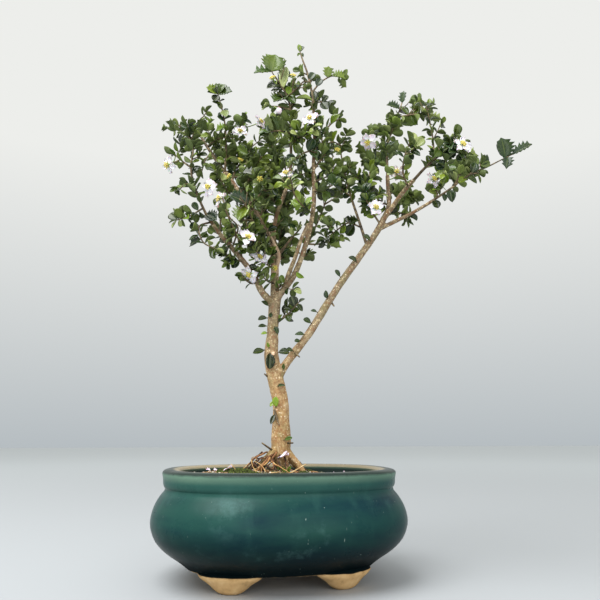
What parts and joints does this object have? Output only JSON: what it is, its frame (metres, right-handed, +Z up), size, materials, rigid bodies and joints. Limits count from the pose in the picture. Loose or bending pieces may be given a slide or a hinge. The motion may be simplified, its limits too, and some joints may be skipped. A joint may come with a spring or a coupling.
{
  "type": "singapore holly bonsai",
  "caption": "Flowering singapore holly bonsai with a forked trunk, surface roots and small glossy round and spiny leaves, in a footed oval glazed pot.",
  "frame": {"origin": "middle of the bottom of the whole object's box, at the level of the pot's feet", "axes": "+Z up along the trunk, +X along the pot's long side towards the long limb, -Y to the front"},
  "size_m": [0.4042, 0.211, 0.5539],
  "materials": {
    "glaze": "teal gloss glaze, feet bare",
    "soil": "loose grit and bark",
    "bark": "live bark with pale pores",
    "leaf": "glossy live leaf",
    "petal": "matte petal",
    "stamen": "matte",
    "screen": "moulded mesh"
  },
  "bodies": {
    "root": {"bloom_a": "petal", "bloom_b": "petal", "bloom_c": "petal", "bloom_d": "petal", "bloom_e": "petal", "bloom_f": "petal", "bloom_g": "petal", "bloom_h": "petal", "bloom_i": "petal", "bloom_j": "petal", "bloom_k": "petal", "drain_screen_left": "screen", "drain_screen_right": "screen", "pot": "glaze", "soil": "soil", "spray_b_low": "leaf", "spray_b_middle": "leaf", "spray_back_limb": "leaf", "spray_back_right": "leaf", "spray_c_back": "leaf", "spray_c_low": "leaf", "spray_c_right": "leaf", "spray_crown_b": "leaf", "spray_crown_c": "leaf", "spray_crown_diagonal": "leaf", "spray_crown_leader": "leaf", "spray_crown_left": "leaf", "spray_crown_low": "leaf", "spray_crown_up": "leaf", "spray_diagonal_side": "leaf", "spray_front_left": "leaf", "spray_leader_back": "leaf", "spray_leader_front": "leaf", "spray_leader_in": "leaf", "spray_leader_out": "leaf", "spray_left_back": "leaf", "spray_left_base": "leaf", "spray_left_drop": "leaf", "spray_left_inner": "leaf", "spray_left_root": "leaf", "spray_limb_middle": "leaf", "spray_limb_twig": "leaf", "spray_low_right": "leaf", "spray_side_vertical": "leaf", "spray_stub_shoot": "leaf", "spray_trunk_shoot": "leaf", "spray_up_side": "leaf", "spray_upright": "leaf", "stamens_a": "stamen", "stamens_b": "stamen", "stamens_c": "stamen", "stamens_d": "stamen", "stamens_e": "stamen", "stamens_f": "stamen", "stamens_g": "stamen", "stamens_h": "stamen", "stamens_i": "stamen", "stamens_j": "stamen", "stamens_k": "stamen", "wood": "bark"}
  },
  "joints": []
}
